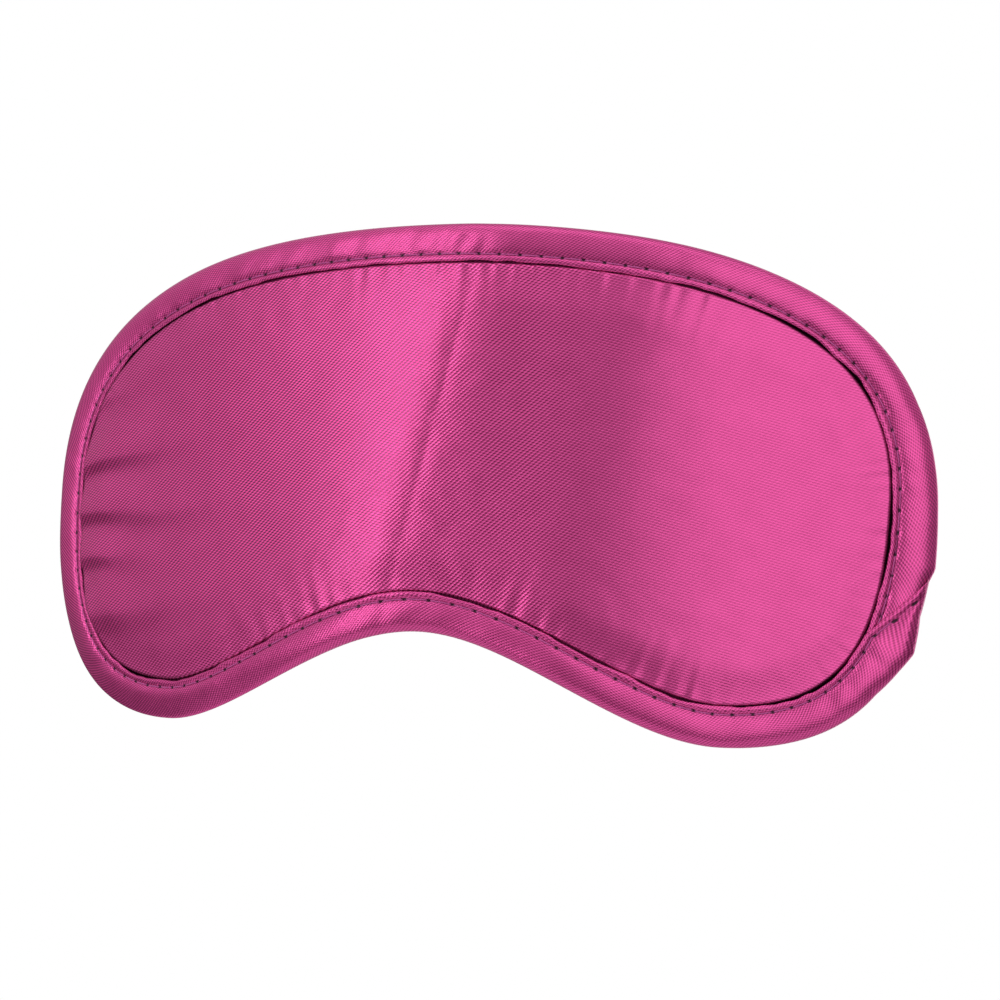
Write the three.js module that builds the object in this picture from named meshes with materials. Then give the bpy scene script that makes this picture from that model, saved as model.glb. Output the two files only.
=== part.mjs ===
// Sleep eye mask: a satin front and a soft lining over thin foam, bound round the edge with a
// folded bias tape, and held on by one elastic strap sewn across the back.
// Millimetres. X runs across the face, the front faces -Y, +Z is up. The origin is on the back
// of the lining, on the nose line at eye level.
import * as THREE from 'three';

// Flat pattern, drawn from the nose line (u = 0) out to the side (u), with v upwards.
const HALF_WIDTH = 100;
const TOP_V = 46.6;
const TOP_PULL = 48;
const SIDE_V = -5;
const SIDE_PULL_UP = 45;
const SIDE_PULL_DOWN = 19;
const LOBE_U = 62;
const LOBE_V = -52.9;
const LOBE_PULL_OUT = 35.5;
const LOBE_PULL_IN = 18.5;
const NOSE_V = -33.8;
const NOSE_PULL = 20;
const CENTRE_V = 8;
const OUTLINE_STEPS = 80;

// The mask curves back round the face: flat on the nose, an arc, then flat again at the sides.
const CURVE_FROM = 7.5;
const CURVE_TO = 67;
const CURVE_ANGLE = THREE.MathUtils.degToRad(17.7);
const CURVE_RADIUS = (CURVE_TO - CURVE_FROM) / CURVE_ANGLE;

// The layers, as heights from the middle of the foam. The foam is pressed thin in the binding.
const GAP = 0.3;
const CLOTH = 0.4;
const FOAM_HALF = 1.5;
const FOAM_HALF_AT_RIM = 0.3;
const PUFF_FROM = 7.8;
const PUFF_TO = 17;
const RINGS = [PUFF_FROM, 10.5, 13.5, PUFF_TO];
const INNER_RING_SCALE = 0.6;
const PANEL_RIM = 1.6;
const FOAM_RIM = 2.2;
const BACK_FACE = FOAM_HALF + GAP + CLOTH;

// The binding: a folded tape with a lip on each side of the mask. RIM_TURN is how its outside
// turns round the rim, as distances in from the rim and heights.
const TAPE = 0.5;
const LIP_WIDTH = 7.6;
const CHANNEL_DEPTH = 0.9;
const LIP_INNER = FOAM_HALF_AT_RIM + GAP + CLOTH + GAP;
const LIP_OUTER = LIP_INNER + TAPE;
const RIM_TURN = [[2, LIP_OUTER], [0.6, 1.4], [0, 0.5]];

// The tape's folded end laps over its start at the wearer's lower left, the viewer's right.
const LAP_FIRST_STEP = 21;
const LAP_LAST_STEP = 24;
const LAP_NARROW = 1.4;
const LAP_WIDE = 5.2;
const LAP_TAPE = 0.4;

// One row of stitches through the binding, seen on both sides.
const STITCH_IN = 6.2;
const THREAD_RADIUS = 0.25;

// The elastic strap, a flat tape on edge.
const STRAP_WIDTH = 10;
const STRAP_THICK = 1.2;
const STRAP_HEIGHT = -(LIP_OUTER + GAP + 2 * THREAD_RADIUS + GAP + STRAP_THICK / 2);
const SEWN_FROM = 98;
const SEWN_TO = 90.5;
const FOLD_RADIUS = 3;
const SIDE_LEAN = THREE.MathUtils.degToRad(15);
const ROOT_ROOM = 6;
const REAR_HALF = 28;
const REAR_RADIUS = 40;
const ARC_STEPS = 10;
const TACK_U = 94.5;
const TACK_LONG = 8;
const TACK_WIDE = 1.4;
const TACK_THICK = 0.5;

const SATIN = new THREE.Color(0.68, 0.09, 0.35);
const BLACK = new THREE.Color(0.02, 0.02, 0.022);
const FOAM_GREY = new THREE.Color(0.45, 0.45, 0.46);

// ---- outline and bend ----

function outlinePath() {
  const path = new THREE.Path().moveTo(0, TOP_V);
  path.bezierCurveTo(TOP_PULL, TOP_V, HALF_WIDTH, SIDE_V + SIDE_PULL_UP, HALF_WIDTH, SIDE_V);
  path.bezierCurveTo(
    HALF_WIDTH, SIDE_V - SIDE_PULL_DOWN, LOBE_U + LOBE_PULL_OUT, LOBE_V, LOBE_U, LOBE_V);
  path.bezierCurveTo(LOBE_U - LOBE_PULL_IN, LOBE_V, NOSE_PULL, NOSE_V, 0, NOSE_V);
  path.bezierCurveTo(-NOSE_PULL, NOSE_V, LOBE_PULL_IN - LOBE_U, LOBE_V, -LOBE_U, LOBE_V);
  path.bezierCurveTo(
    -LOBE_U - LOBE_PULL_OUT, LOBE_V, -HALF_WIDTH, SIDE_V - SIDE_PULL_DOWN, -HALF_WIDTH, SIDE_V);
  path.bezierCurveTo(-HALF_WIDTH, SIDE_V + SIDE_PULL_UP, -TOP_PULL, TOP_V, 0, TOP_V);
  return path;
}

const rim = outlinePath().getSpacedPoints(OUTLINE_STEPS).slice(0, OUTLINE_STEPS);

function inward(step) {
  const before = rim[(step + OUTLINE_STEPS - 1) % OUTLINE_STEPS];
  const after = rim[(step + 1) % OUTLINE_STEPS];
  const along = after.clone().sub(before).normalize();
  return new THREE.Vector2(along.y, -along.x);
}

// From the flat pattern to the curved mask; height is towards the front.
function bend(u, v, height) {
  const side = Math.sign(u);
  const reach = Math.abs(u);
  const turn = THREE.MathUtils.clamp((reach - CURVE_FROM) / (CURVE_TO - CURVE_FROM), 0, 1)
    * CURVE_ANGLE;
  const past = Math.max(reach - CURVE_TO, 0);
  const across = Math.min(reach, CURVE_FROM)
    + CURVE_RADIUS * Math.sin(turn) + past * Math.cos(turn) + height * Math.sin(turn);
  const behind = CURVE_RADIUS * (1 - Math.cos(turn)) + past * Math.sin(turn)
    - height * Math.cos(turn) - BACK_FACE;
  return new THREE.Vector3(side * across, behind, v);
}

// A point a distance in from the rim at one step of the outline, optionally drawn in further
// towards the centre of the panel.
function place(step, inside, height, scale = 1) {
  const point = rim[step].clone().addScaledVector(inward(step), inside);
  point.sub(new THREE.Vector2(0, CENTRE_V)).multiplyScalar(scale);
  return bend(point.x, point.y + CENTRE_V, height);
}

function puff(inside) {
  const rise = THREE.MathUtils.smoothstep(inside, PUFF_FROM, PUFF_TO);
  return THREE.MathUtils.lerp(FOAM_HALF_AT_RIM, FOAM_HALF, rise);
}

// ---- solids ----

function solid(points, triangles) {
  const geometry = new THREE.BufferGeometry().setFromPoints(points);
  geometry.setIndex(triangles);
  geometry.computeVertexNormals();
  return geometry;
}

function band(triangles, first, second, closed = true) {
  const count = first.length;
  const last = closed ? count : count - 1;
  for (let i = 0; i < last; i += 1) {
    const next = (i + 1) % count;
    triangles.push(first[i], second[next], second[i]);
    triangles.push(first[i], first[next], second[next]);
  }
}

// A layer that fills the outline. The rows run from the middle of its front out to the rim and
// back to the middle of its back; each is a distance in, a height and a scale.
function layer(rows) {
  const points = [];
  const rings = rows.map(([inside, height, scale]) => rim.map((_, step) => {
    points.push(place(step, inside, height, scale));
    return points.length - 1;
  }));
  const triangles = [];
  for (let row = 0; row + 1 < rings.length; row += 1) band(triangles, rings[row], rings[row + 1]);
  const lastRing = rings[rings.length - 1];
  points.push(bend(0, CENTRE_V, rows[0][1]));
  const frontPole = points.length - 1;
  points.push(bend(0, CENTRE_V, rows[rows.length - 1][1]));
  const backPole = points.length - 1;
  for (let step = 0; step < OUTLINE_STEPS; step += 1) {
    const next = (step + 1) % OUTLINE_STEPS;
    triangles.push(frontPole, rings[0][next], rings[0][step]);
    triangles.push(backPole, lastRing[step], lastRing[next]);
  }
  return solid(points, triangles);
}

// Rows for a layer between two heights, given as functions of the distance in from the rim.
function layerRows(outside, front, back) {
  const depths = [outside, ...RINGS];
  const frontRows = depths.map((inside) => [inside, front(inside), 1]);
  const backRows = depths.map((inside) => [inside, back(inside), 1]);
  const middle = [PUFF_TO, INNER_RING_SCALE];
  return [
    [middle[0], front(PUFF_TO), middle[1]],
    ...frontRows.reverse(),
    ...backRows,
    [middle[0], back(PUFF_TO), middle[1]],
  ];
}

// A closed section of distances in and heights, carried all the way round the outline.
function hoop(section) {
  const points = [];
  const rings = section.map(([inside, height]) => rim.map((_, step) => {
    points.push(place(step, inside, height));
    return points.length - 1;
  }));
  const triangles = [];
  rings.forEach((ring, row) => band(triangles, ring, rings[(row + 1) % rings.length]));
  return solid(points, triangles);
}

// The same, along part of the outline, with flat ends. sectionAt gives each step's section.
function partHoop(firstStep, lastStep, sectionAt) {
  const steps = Array.from({ length: lastStep - firstStep + 1 }, (_, i) => firstStep + i);
  const sections = steps.map(sectionAt);
  const size = sections[0].length;
  const points = sections.flatMap((section, i) =>
    section.map(([inside, height]) => place(steps[i], inside, height)));
  const triangles = [];
  for (let row = 0; row < size; row += 1) {
    const line = steps.map((_, i) => i * size + row);
    const nextLine = steps.map((_, i) => i * size + (row + 1) % size);
    band(triangles, line, nextLine, false);
  }
  const contour = sections[0].map(([inside, height]) => new THREE.Vector2(inside, height));
  const cap = THREE.ShapeUtils.triangulateShape(contour, []);
  const end = (steps.length - 1) * size;
  cap.forEach(([a, b, c]) => triangles.push(a, b, c, end + a, end + c, end + b));
  return solid(points, triangles);
}

// A flat tape standing on edge along a plan line.
function ribbon(plan, width, thick, middleZ) {
  const sides = plan.map((point, i) => {
    const before = plan[Math.max(i - 1, 0)];
    const after = plan[Math.min(i + 1, plan.length - 1)];
    const along = after.clone().sub(before).normalize();
    return new THREE.Vector2(along.y, -along.x).multiplyScalar(thick / 2);
  });
  const right = plan.map((point, i) => point.clone().add(sides[i]));
  const left = plan.map((point, i) => point.clone().sub(sides[i]));
  const shape = new THREE.Shape([...right, ...left.reverse()]);
  const geometry = new THREE.ExtrudeGeometry(shape, { depth: width, bevelEnabled: false });
  return geometry.translate(0, 0, middleZ - width / 2);
}

// ---- the layers ----

function frontPanel() {
  const inner = (inside) => puff(inside) + GAP;
  return layer(layerRows(PANEL_RIM, (inside) => inner(inside) + CLOTH, inner));
}

function backLining() {
  const inner = (inside) => -puff(inside) - GAP;
  return layer(layerRows(PANEL_RIM, inner, (inside) => inner(inside) - CLOTH));
}

function foamPad() {
  return layer(layerRows(FOAM_RIM, puff, (inside) => -puff(inside)));
}

// ---- the binding and its stitches ----

function mirrored(rows) {
  return [...rows, ...rows.map(([inside, height]) => [inside, -height]).reverse()];
}

function edgeBinding() {
  const outside = [[LIP_WIDTH, LIP_OUTER], ...RIM_TURN];
  const channel = [[CHANNEL_DEPTH, LIP_INNER], [LIP_WIDTH, LIP_INNER]];
  const rows = mirrored(outside);
  const inner = mirrored(channel.reverse()).reverse();
  return hoop([...rows, ...inner]);
}

function bindingLap() {
  const inner = LIP_OUTER + GAP;
  const outer = inner + LAP_TAPE;
  const edge = -GAP - LAP_TAPE;
  return partHoop(LAP_FIRST_STEP, LAP_LAST_STEP, (step) => {
    const along = (step - LAP_FIRST_STEP) / (LAP_LAST_STEP - LAP_FIRST_STEP);
    const width = THREE.MathUtils.lerp(LAP_NARROW, LAP_WIDE, along);
    return [...mirrored([[width, outer], [edge, outer]]),
      ...mirrored([[width, inner], [-GAP, inner]]).reverse()];
  });
}

function stitchRow(side) {
  const height = LIP_OUTER + GAP + THREAD_RADIUS;
  const section = [
    [STITCH_IN + THREAD_RADIUS, height],
    [STITCH_IN, height + THREAD_RADIUS],
    [STITCH_IN - THREAD_RADIUS, height],
    [STITCH_IN, height - THREAD_RADIUS],
  ];
  if (side > 0) return hoop(section);
  return hoop(section.map(([inside, h]) => [inside, -h]).reverse());
}

// ---- the strap, made for the +X side and mirrored by its plan line ----

const sewnStart = bend(SEWN_FROM, 0, STRAP_HEIGHT);
const foldStart = bend(SEWN_TO, 0, STRAP_HEIGHT);
const foldCentre = new THREE.Vector2(
  foldStart.x - FOLD_RADIUS * Math.sin(CURVE_ANGLE),
  foldStart.y + FOLD_RADIUS * Math.cos(CURVE_ANGLE));
const sideStart = new THREE.Vector2(
  foldCentre.x - FOLD_RADIUS * Math.cos(SIDE_LEAN),
  foldCentre.y - FOLD_RADIUS * Math.sin(SIDE_LEAN));
const cornerStartX = REAR_HALF + REAR_RADIUS * Math.cos(SIDE_LEAN);
const cornerStartY = sideStart.y + (sideStart.x - cornerStartX) / Math.tan(SIDE_LEAN);
const rearY = cornerStartY + REAR_RADIUS * (1 - Math.sin(SIDE_LEAN));
const sideLine = new THREE.LineCurve(
  sideStart, new THREE.Vector2(cornerStartX, cornerStartY));

function onSide(plan, side) {
  return plan.map((point) => new THREE.Vector2(side * point.x, point.y));
}

function strapEnd(side) {
  const path = new THREE.Path().moveTo(sewnStart.x, sewnStart.y);
  path.lineTo(foldStart.x, foldStart.y);
  path.absarc(foldCentre.x, foldCentre.y, FOLD_RADIUS,
    CURVE_ANGLE - Math.PI / 2, -Math.PI + SIDE_LEAN, true);
  return ribbon(onSide(path.getPoints(ARC_STEPS), side), STRAP_WIDTH, STRAP_THICK, SIDE_V);
}

function strapSide(side) {
  const length = sideLine.getLength();
  const plan = [sideLine.getPointAt(ROOT_ROOM / length), sideLine.getPointAt(1 - GAP / length)];
  return ribbon(onSide(plan, side), STRAP_WIDTH, STRAP_THICK, SIDE_V);
}

function strapRear() {
  const path = new THREE.Path().moveTo(cornerStartX, cornerStartY);
  path.absarc(REAR_HALF, rearY - REAR_RADIUS, REAR_RADIUS, SIDE_LEAN, Math.PI / 2, false);
  path.lineTo(-REAR_HALF, rearY);
  path.absarc(-REAR_HALF, rearY - REAR_RADIUS, REAR_RADIUS, Math.PI / 2, Math.PI - SIDE_LEAN,
    false);
  return ribbon(path.getPoints(ARC_STEPS), STRAP_WIDTH, STRAP_THICK, SIDE_V);
}

function strapTack(side) {
  const height = STRAP_HEIGHT - STRAP_THICK / 2 - GAP - TACK_THICK / 2;
  const middle = bend(TACK_U, SIDE_V, height);
  const geometry = new THREE.BoxGeometry(TACK_WIDE, TACK_THICK, TACK_LONG);
  geometry.rotateZ(side * CURVE_ANGLE);
  return geometry.translate(side * middle.x, middle.y, middle.z);
}

// ---- the assembly ----

function node(name, geometry, color, roughness) {
  const mesh = new THREE.Mesh(geometry, new THREE.MeshStandardMaterial({ color, roughness }));
  mesh.name = name;
  return mesh;
}

const mask = new THREE.Group();
mask.add(
  node('front_panel', frontPanel(), SATIN, 0.35),
  node('foam_pad', foamPad(), FOAM_GREY, 0.95),
  node('back_lining', backLining(), BLACK, 0.9),
  node('edge_binding', edgeBinding(), SATIN, 0.4),
  node('binding_lap', bindingLap(), SATIN, 0.4),
  node('stitch_front', stitchRow(1), SATIN, 0.7),
  node('stitch_back', stitchRow(-1), SATIN, 0.7),
  node('strap_rear', strapRear(), BLACK, 0.85),
);
for (const [side, word] of [[1, 'right'], [-1, 'left']]) {
  mask.add(
    node(`strap_end_${word}`, strapEnd(side), BLACK, 0.85),
    node(`strap_side_${word}`, strapSide(side), BLACK, 0.85),
    node(`strap_tack_${word}`, strapTack(side), BLACK, 0.8),
  );
}

export default mask;
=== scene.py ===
"""Looks of the sleep eye mask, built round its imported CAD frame."""
import math

import bpy
import numpy as np
from mathutils import Matrix, Vector


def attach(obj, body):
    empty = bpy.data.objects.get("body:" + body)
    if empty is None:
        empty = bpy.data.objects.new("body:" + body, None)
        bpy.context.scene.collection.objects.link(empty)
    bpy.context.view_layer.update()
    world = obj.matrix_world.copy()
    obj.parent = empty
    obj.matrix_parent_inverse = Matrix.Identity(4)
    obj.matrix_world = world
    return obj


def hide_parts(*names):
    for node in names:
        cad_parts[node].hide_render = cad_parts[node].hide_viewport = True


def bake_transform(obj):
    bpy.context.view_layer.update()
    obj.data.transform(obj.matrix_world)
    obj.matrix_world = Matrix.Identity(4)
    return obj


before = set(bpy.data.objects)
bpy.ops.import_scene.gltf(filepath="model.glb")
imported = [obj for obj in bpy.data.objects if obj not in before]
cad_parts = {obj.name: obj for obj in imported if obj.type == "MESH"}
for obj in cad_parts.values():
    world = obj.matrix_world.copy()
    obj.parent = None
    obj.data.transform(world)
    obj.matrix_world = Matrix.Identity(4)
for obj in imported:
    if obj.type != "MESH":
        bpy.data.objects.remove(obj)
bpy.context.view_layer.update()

# Lengths are millimetres until a mesh is made, in the row frame: X across the face, the front
# faces -Y, +Z up. u and v are places in the flat pattern, and height is towards the front.
MM = 0.001

# Flat pattern, from the nose line (u = 0) out to the side.
HALF_WIDTH = 100
TOP_V = 46.6
TOP_PULL = 48
SIDE_V = -5
SIDE_PULL_UP = 45
SIDE_PULL_DOWN = 19
LOBE_U = 62
LOBE_V = -52.9
LOBE_PULL_OUT = 35.5
LOBE_PULL_IN = 18.5
NOSE_V = -33.8
NOSE_PULL = 20
PANEL_CENTRE = np.array([0, 8.0])
CURVE_SAMPLES = 800

# The mask curves back round the face.
CURVE_FROM = 7.5
CURVE_TO = 67
CURVE_ANGLE = math.radians(17.7)
CURVE_RADIUS = (CURVE_TO - CURVE_FROM) / CURVE_ANGLE
BACK_FACE = 2.2

# The whole mask also sways a little off that curve, in slanting waves: slopes at places across
# it, in degrees, and how far the waves lean. The changes of slope are rounded over SWAY_BLUR
# samples.
SWAY_AT = (-100, -70, -40, -28, -16, -7, -2, 4, 12, 20, 31, 46, 72, 100)
SWAY_SLOPE = (0, 0, -4.4, -7.2, -8.0, -7.0, 0, 6, 7, 4.5, 1.5, 4, 2.5, 0)
SWAY_LEAN = 0.23
SWAY_MARGIN = 15
SWAY_SAMPLES = 921
SWAY_BLUR = 32

# Layers: heights and distances in from the rim. The panels run under the binding from PANEL_RIM,
# rise beside the seam, and swell over the foam as far as PUFF_TO.
CLOTH = 0.4
FOAM_HALF = 1.45
PANEL_RIM = 2.0
PANEL_RIM_HEIGHT = 0.75
PANEL_HEIGHT = 2.25
PUFF_FROM = 6.6
PUFF_TO = 16
SEAM_RISE = (7.4, 8.3)
LINING_SINK = 0.1
LINING_WAVES = 0.8
LINING_WAVE_START = 40
FOAM_INSET = 0.6
FOAM_RIM_HALF = 0.25

# Points round the rim, and rings of the panels: under the binding, up from the seam, along the
# flank as far as RING_REACH, and in to the middle, where the last is SMALLEST_RING of the first.
RIM_STEPS = 960
RIM_RINGS = 4
SEAM_RINGS = 8
FLANK_RINGS = 15
INNER_RINGS = 26
SEAM_GAP = 0.3
RING_REACH = PUFF_TO + 2
RING_CROWDING = 1.4
SMALLEST_RING = 0.03
MIDDLE_DEPTH = 30

# Gathers at the seam: their height, how far in they reach and how much that varies, the finer
# ones between them, and the first of five seeds.
PUCKER_HEIGHT = 0.11
PUCKER_REACH = 2.6
PUCKER_REACH_RANGE = 1.6
PUCKER_DRIFT = 2.6
PUCKER_RISE = 1.4
FINE_PUCKER_PITCH = 2.9
FINE_PUCKER_DRIFT = 3
FINE_PUCKER_SHARE = 0.4
FRONT_SEED = 11
BACK_SEED = 31
LINING_PUCKERS = 0.8

# Folds in the satin at the -X end: v at the seam, slope, length, width and height. They wander a
# little, widen along their length, and are wider above their crest than below it.
END_FOLDS = (
    (-1.3, 0.19, 25, 2.1, 1.10), (-11.2, 0.04, 31, 2.2, 1.20), (-20.6, 0.04, 20, 2.0, 1.10),
    (-34.0, 0.16, 32, 3.2, 1.25), (11.0, 0.30, 14, 1.6, 0.45),
)
FOLD_WANDER = 0.5
FOLD_WANDER_LENGTH = 5
FOLD_WIDENING = 0.6
FOLD_ABOVE = 2.2
FOLD_BELOW = 0.8
FOLD_RISE = 0.6

# Painted shade in the crease beside the binding: fainter near the nose than at the ends, wider at -X.
ENDS_FROM = 35
ENDS_TO = 75
CREASE_SHADE_AT_NOSE = 0.35
CREASE_SHADE_WIDER = 0.5
CREASE_SHADE_FROM = 0.35
CREASE_SHADE_TO = 0.05

# Simulation of the satin: its grid, and the wrinkles kept from it, which are narrower than
# WRINKLE_SPAN and no higher than WRINKLE_CAP.
CLOTH_STEP = 2.0
CLOTH_FRAMES = 20
CLOTH_SEED = 4
CLOTH_UNEVEN = 0.05
WRINKLE_SPAN = 26
WRINKLE_CAP = 0.4
FINER_TIMES = 2
CLOTH_SETTINGS = {
    "quality": 6, "mass": 0.1, "air_damping": 2, "tension_stiffness": 15,
    "compression_stiffness": 15, "shear_stiffness": 5, "bending_stiffness": 1.0,
    "shrink_min": -0.003, "use_pressure": True, "uniform_pressure_force": 3.0,
}

# The binding tape and the stitches through it.
TAPE = 0.42
LIP_WIDTH = 7.66
STITCH_IN = 6.2
STITCH_GAP = 4.4
THREAD_RADIUS = 0.13
THREAD_HEIGHT = 1.40
THREAD_SIDES = 8
STITCH_POINTS = 9
STITCH_DIVE = 0.6
HOLE_HALF_LENGTH = 0.75
HOLE_HALF_WIDTH = 0.33
RIM_ROUND = 1.3
RIM_ZONE = 6
FACE_FROM = 0.3

# The stitches draw the tape into a groove, deeper at each hole.
GROOVE_FROM = 1.2
GROOVE_WIDTH = 0.4
GROOVE_DEPTH = 0.03
HOLE_WIDTH = 0.45
HOLE_DEPTH = 0.20

# The tape between rim and groove wavers and is creased; its lip and its inner edge ripple. Each
# ripple has a height, a wavelength, how far it slants, and a seed.
TAPE_BODY = (0.5, 2.5, 5.0, 6.0)
TAPE_LIP = (6.4, 7.4)
TAPE_WAVES = ((0.09, 7, 0, 3), (0.05, 3.5, 1.3, 4))
TAPE_CREASES = (0.12, 2.6, 0.5, 10)
TAPE_CREASED = (1, 24, 0, 9)
LIP_WAVES = ((0.07, 2.4, 0, 8),)
EDGE_WAVES = ((0.26, 8, 0, 6), (0.15, 2.6, 0, 7))

# The tape laps over its own end at +X: its folded start lies on top, cut along a diagonal from
# the rim to the seam, and its other end runs under it and sinks a little there. Both poke out a
# little past the rim: v, and how far the layer underneath and the layer on top stand out.
LAP_TOP_V = -19
LAP_SEAM_V = -33
LAP_CURVE = 1.15
LAP_PINCHED = 0.04
LAP_UNDER = 12
LAP_RISE = 0.5
LAP_SETTLES = 22
LAP_SPREAD = 0.6
LAP_SINK = 0.15
LAP_SINK_HALF = 6
BULGE_V = (-41, -36, -32.5, -26, -19.5, -17, -8, 3, 14)
BULGE_UNDER = (0, 0, 0, 0, 0.8, 1.6, 1.1, 0.5, 0)
BULGE_TOP = (0, 0.9, 1.8, 0.45, 0.5, 0.6, 0, 0, 0)
BULGE_BEYOND = 0.8 * HALF_WIDTH

# Round the lobe at -X the tape is pressed thinner towards the rim: from and to there, as places
# of the flat pattern, how gradually, and by how much.
PRESSED_FROM = (-30, -42)
PRESSED_TO = (-97, -28)
PRESSED_FADE = 12
PRESSED = 0.6

# The strap: its tape; where it is sewn to the back, folds away and is turned under; the run of its
# sides and rear; its ribs; where each root piece ends and the loop starts; and how close together
# the points along it are.
STRAP_WIDTH = 10
STRAP_THICK = 1.1
STRAP_HEIGHT = -3.5
SEWN_FROM = 97.4
SEWN_TO = 90.5
TURNED_UNDER_TO = 90
TURN_UNDER = 1.1
FOLD_RADIUS = 3
SIDE_LEAN = math.radians(15)
REAR_HALF = 28
REAR_RADIUS = 40
STRAP_RIBS = 9
RIB_POINTS = 8
RIB_HEIGHT = 0.14
RIB_SHARPNESS = 2.5
EDGE_SHARPNESS = 14
EDGE_LEAST = 0.02
ROOT_END_Y = 36
TURN_STEP = 0.2
FOLD_STEP = 0.3
STRAIGHT_STEP = 0.8
REAR_STEP = 1.0

# The zigzag stitches that hold each sewn end.
TACK_STITCHES = 24
TACK_POINTS = 7
TACK_FROM = 95.2
TACK_LENGTH = 1.8
TACK_SPAN = 8.4
TACK_SLANT = 0.35
TACK_PROUD = 0.12
TACK_DIVE = 0.4
TACK_RADIUS = 0.16

# Colours, and the satin's weave: the angles of its two sets of lines, and their pitches in the
# panel and in the tape. Across a span towards +X, set below, the panel's weave is painted with
# less contrast and its steeper lines fade: painted sheen, where the highlight washes the weave out.
SATIN_DARK = (0.27, 0.012, 0.085)
SATIN_LIGHT = (1.0, 0.112, 0.45)
# Painted shade: near-black for the crease beside the binding and the tape's needle holes, groove and
# inner edge.
PAINTED_SHADE = (0.030, 0.003, 0.016)
THREAD_DARK = (0.40, 0.045, 0.24)
THREAD_LIGHT = (0.74, 0.10, 0.42)
BLACK = (0.006, 0.006, 0.007)
STEEP_ANGLE = 41
FLAT_ANGLE = -13
PANEL_PITCHES = (0.68, 0.50)
TAPE_PITCHES = (0.54, 0.42)
WEAVE_UNEVEN = 0.4
PANEL_CONTRAST = 1.9
TAPE_CONTRAST = 1.2
# Painted sheen: how much of the steeper lines is left, and where across the panel the weave's
# contrast falls, where the highlight washes it out.
PAINTED_SHEEN_STEEP = 0.3
PAINTED_SHEEN_FROM = 22
PAINTED_SHEEN_TO = 44
SATIN_ROUGHNESS = (0.22, 0.34)
PANEL_BUMP = 0.04
TAPE_BUMP = 0.03

# Camera and stage, in metres and degrees.
CAMERA_AZIMUTH = 26.6
CAMERA_ELEVATION = -5.2
CAMERA_ROLL = -3.8
CAMERA_DISTANCE = 0.7
CAMERA_TARGET = (0.0087, 0.0128, -0.0062)
CAMERA_LENS = 127.3
CAMERA_SENSOR = 36
CAMERA_CLIP = (0.01, 50)
FLOOR_Z = -0.45
FLOOR_HALF = 0.6

# Lights: azimuth, elevation, distance, size, power, and whether the camera sees it.
LIGHTS = {
    "left_softbox": (-36, 8, 1.3, (0.2, 1.2), 3.5, True),
    "front_softbox": (20, 8, 1.3, (0.76, 1.2), 3.85, True),
    "far_left_softbox": (-72, 12, 1.3, (0.5, 0.9), 0.3, True),
    "overhead_softbox": (-5, 62, 1.3, (1.6, 0.6), 3.0, True),
    "top_light": (150, 50, 1.5, (0.9, 0.9), 1.5, True),
    "back_softbox": (175, -4, 1.4, (2.2, 1.2), 9.0, False),
}

# The world's light rises from one grey to another between two heights.
WORLD_LIGHT = {"From Min": -0.35, "From Max": 0.6, "To Min": 0.05, "To Max": 0.58}


# ---- outline and bend ----

def bezier(start, pull_start, pull_end, end):
    t = np.linspace(0, 1, CURVE_SAMPLES, endpoint=False)[:, None]
    a, b, c, d = (np.array(p, float) for p in (start, pull_start, pull_end, end))
    return a * (1 - t) ** 3 + 3 * b * t * (1 - t) ** 2 + 3 * c * t ** 2 * (1 - t) + d * t ** 3


def unit(vectors):
    return vectors / np.linalg.norm(vectors, axis=1)[:, None]


def run_of(points):
    """Distance along a line of points to each of them."""
    return np.append(0, np.cumsum(np.linalg.norm(np.diff(points, axis=0), axis=1)))


def resampled(points, count):
    """count points evenly spaced round a closed line, and the line's length."""
    closed = np.vstack([points, points[:1]])
    along = run_of(closed)
    at = np.linspace(0, along[-1], count, endpoint=False)
    return np.stack([np.interp(at, along, closed[:, k]) for k in (0, 1)], 1), along[-1]


def outline(count):
    """The rim, clockwise seen from the front, from the top centre."""
    side = (HALF_WIDTH, SIDE_V)
    lobe = (LOBE_U, LOBE_V)
    right = np.vstack([
        bezier((0, TOP_V), (TOP_PULL, TOP_V), (HALF_WIDTH, SIDE_V + SIDE_PULL_UP), side),
        bezier(side, (HALF_WIDTH, SIDE_V - SIDE_PULL_DOWN), (LOBE_U + LOBE_PULL_OUT, LOBE_V), lobe),
        bezier(lobe, (LOBE_U - LOBE_PULL_IN, LOBE_V), (NOSE_PULL, NOSE_V), (0, NOSE_V)),
    ])
    left = (right[::-1] * (-1, 1))[:-1]
    return resampled(np.vstack([right, [(0, NOSE_V)], left]), count)


def inward_of(closed):
    """Unit directions in from a closed line's points."""
    along = unit(np.roll(closed, -1, 0) - np.roll(closed, 1, 0))
    return np.stack([along[:, 1], -along[:, 0]], 1)


RIM, RIM_LENGTH = outline(RIM_STEPS)
INWARD = inward_of(RIM)
RIM_S = np.arange(RIM_STEPS) * RIM_LENGTH / RIM_STEPS
STITCH_COUNT = round(RIM_LENGTH / STITCH_GAP)
STITCH_PITCH = RIM_LENGTH / STITCH_COUNT


def rim_at(s):
    """Rim point and inward direction at distances s along the rim."""
    at = np.mod(s, RIM_LENGTH)
    grid = np.append(RIM_S, RIM_LENGTH)
    looped = [np.vstack([table, table[:1]]) for table in (RIM, INWARD)]
    return [np.stack([np.interp(at, grid, table[:, k]) for k in (0, 1)], -1) for table in looped]


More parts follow.
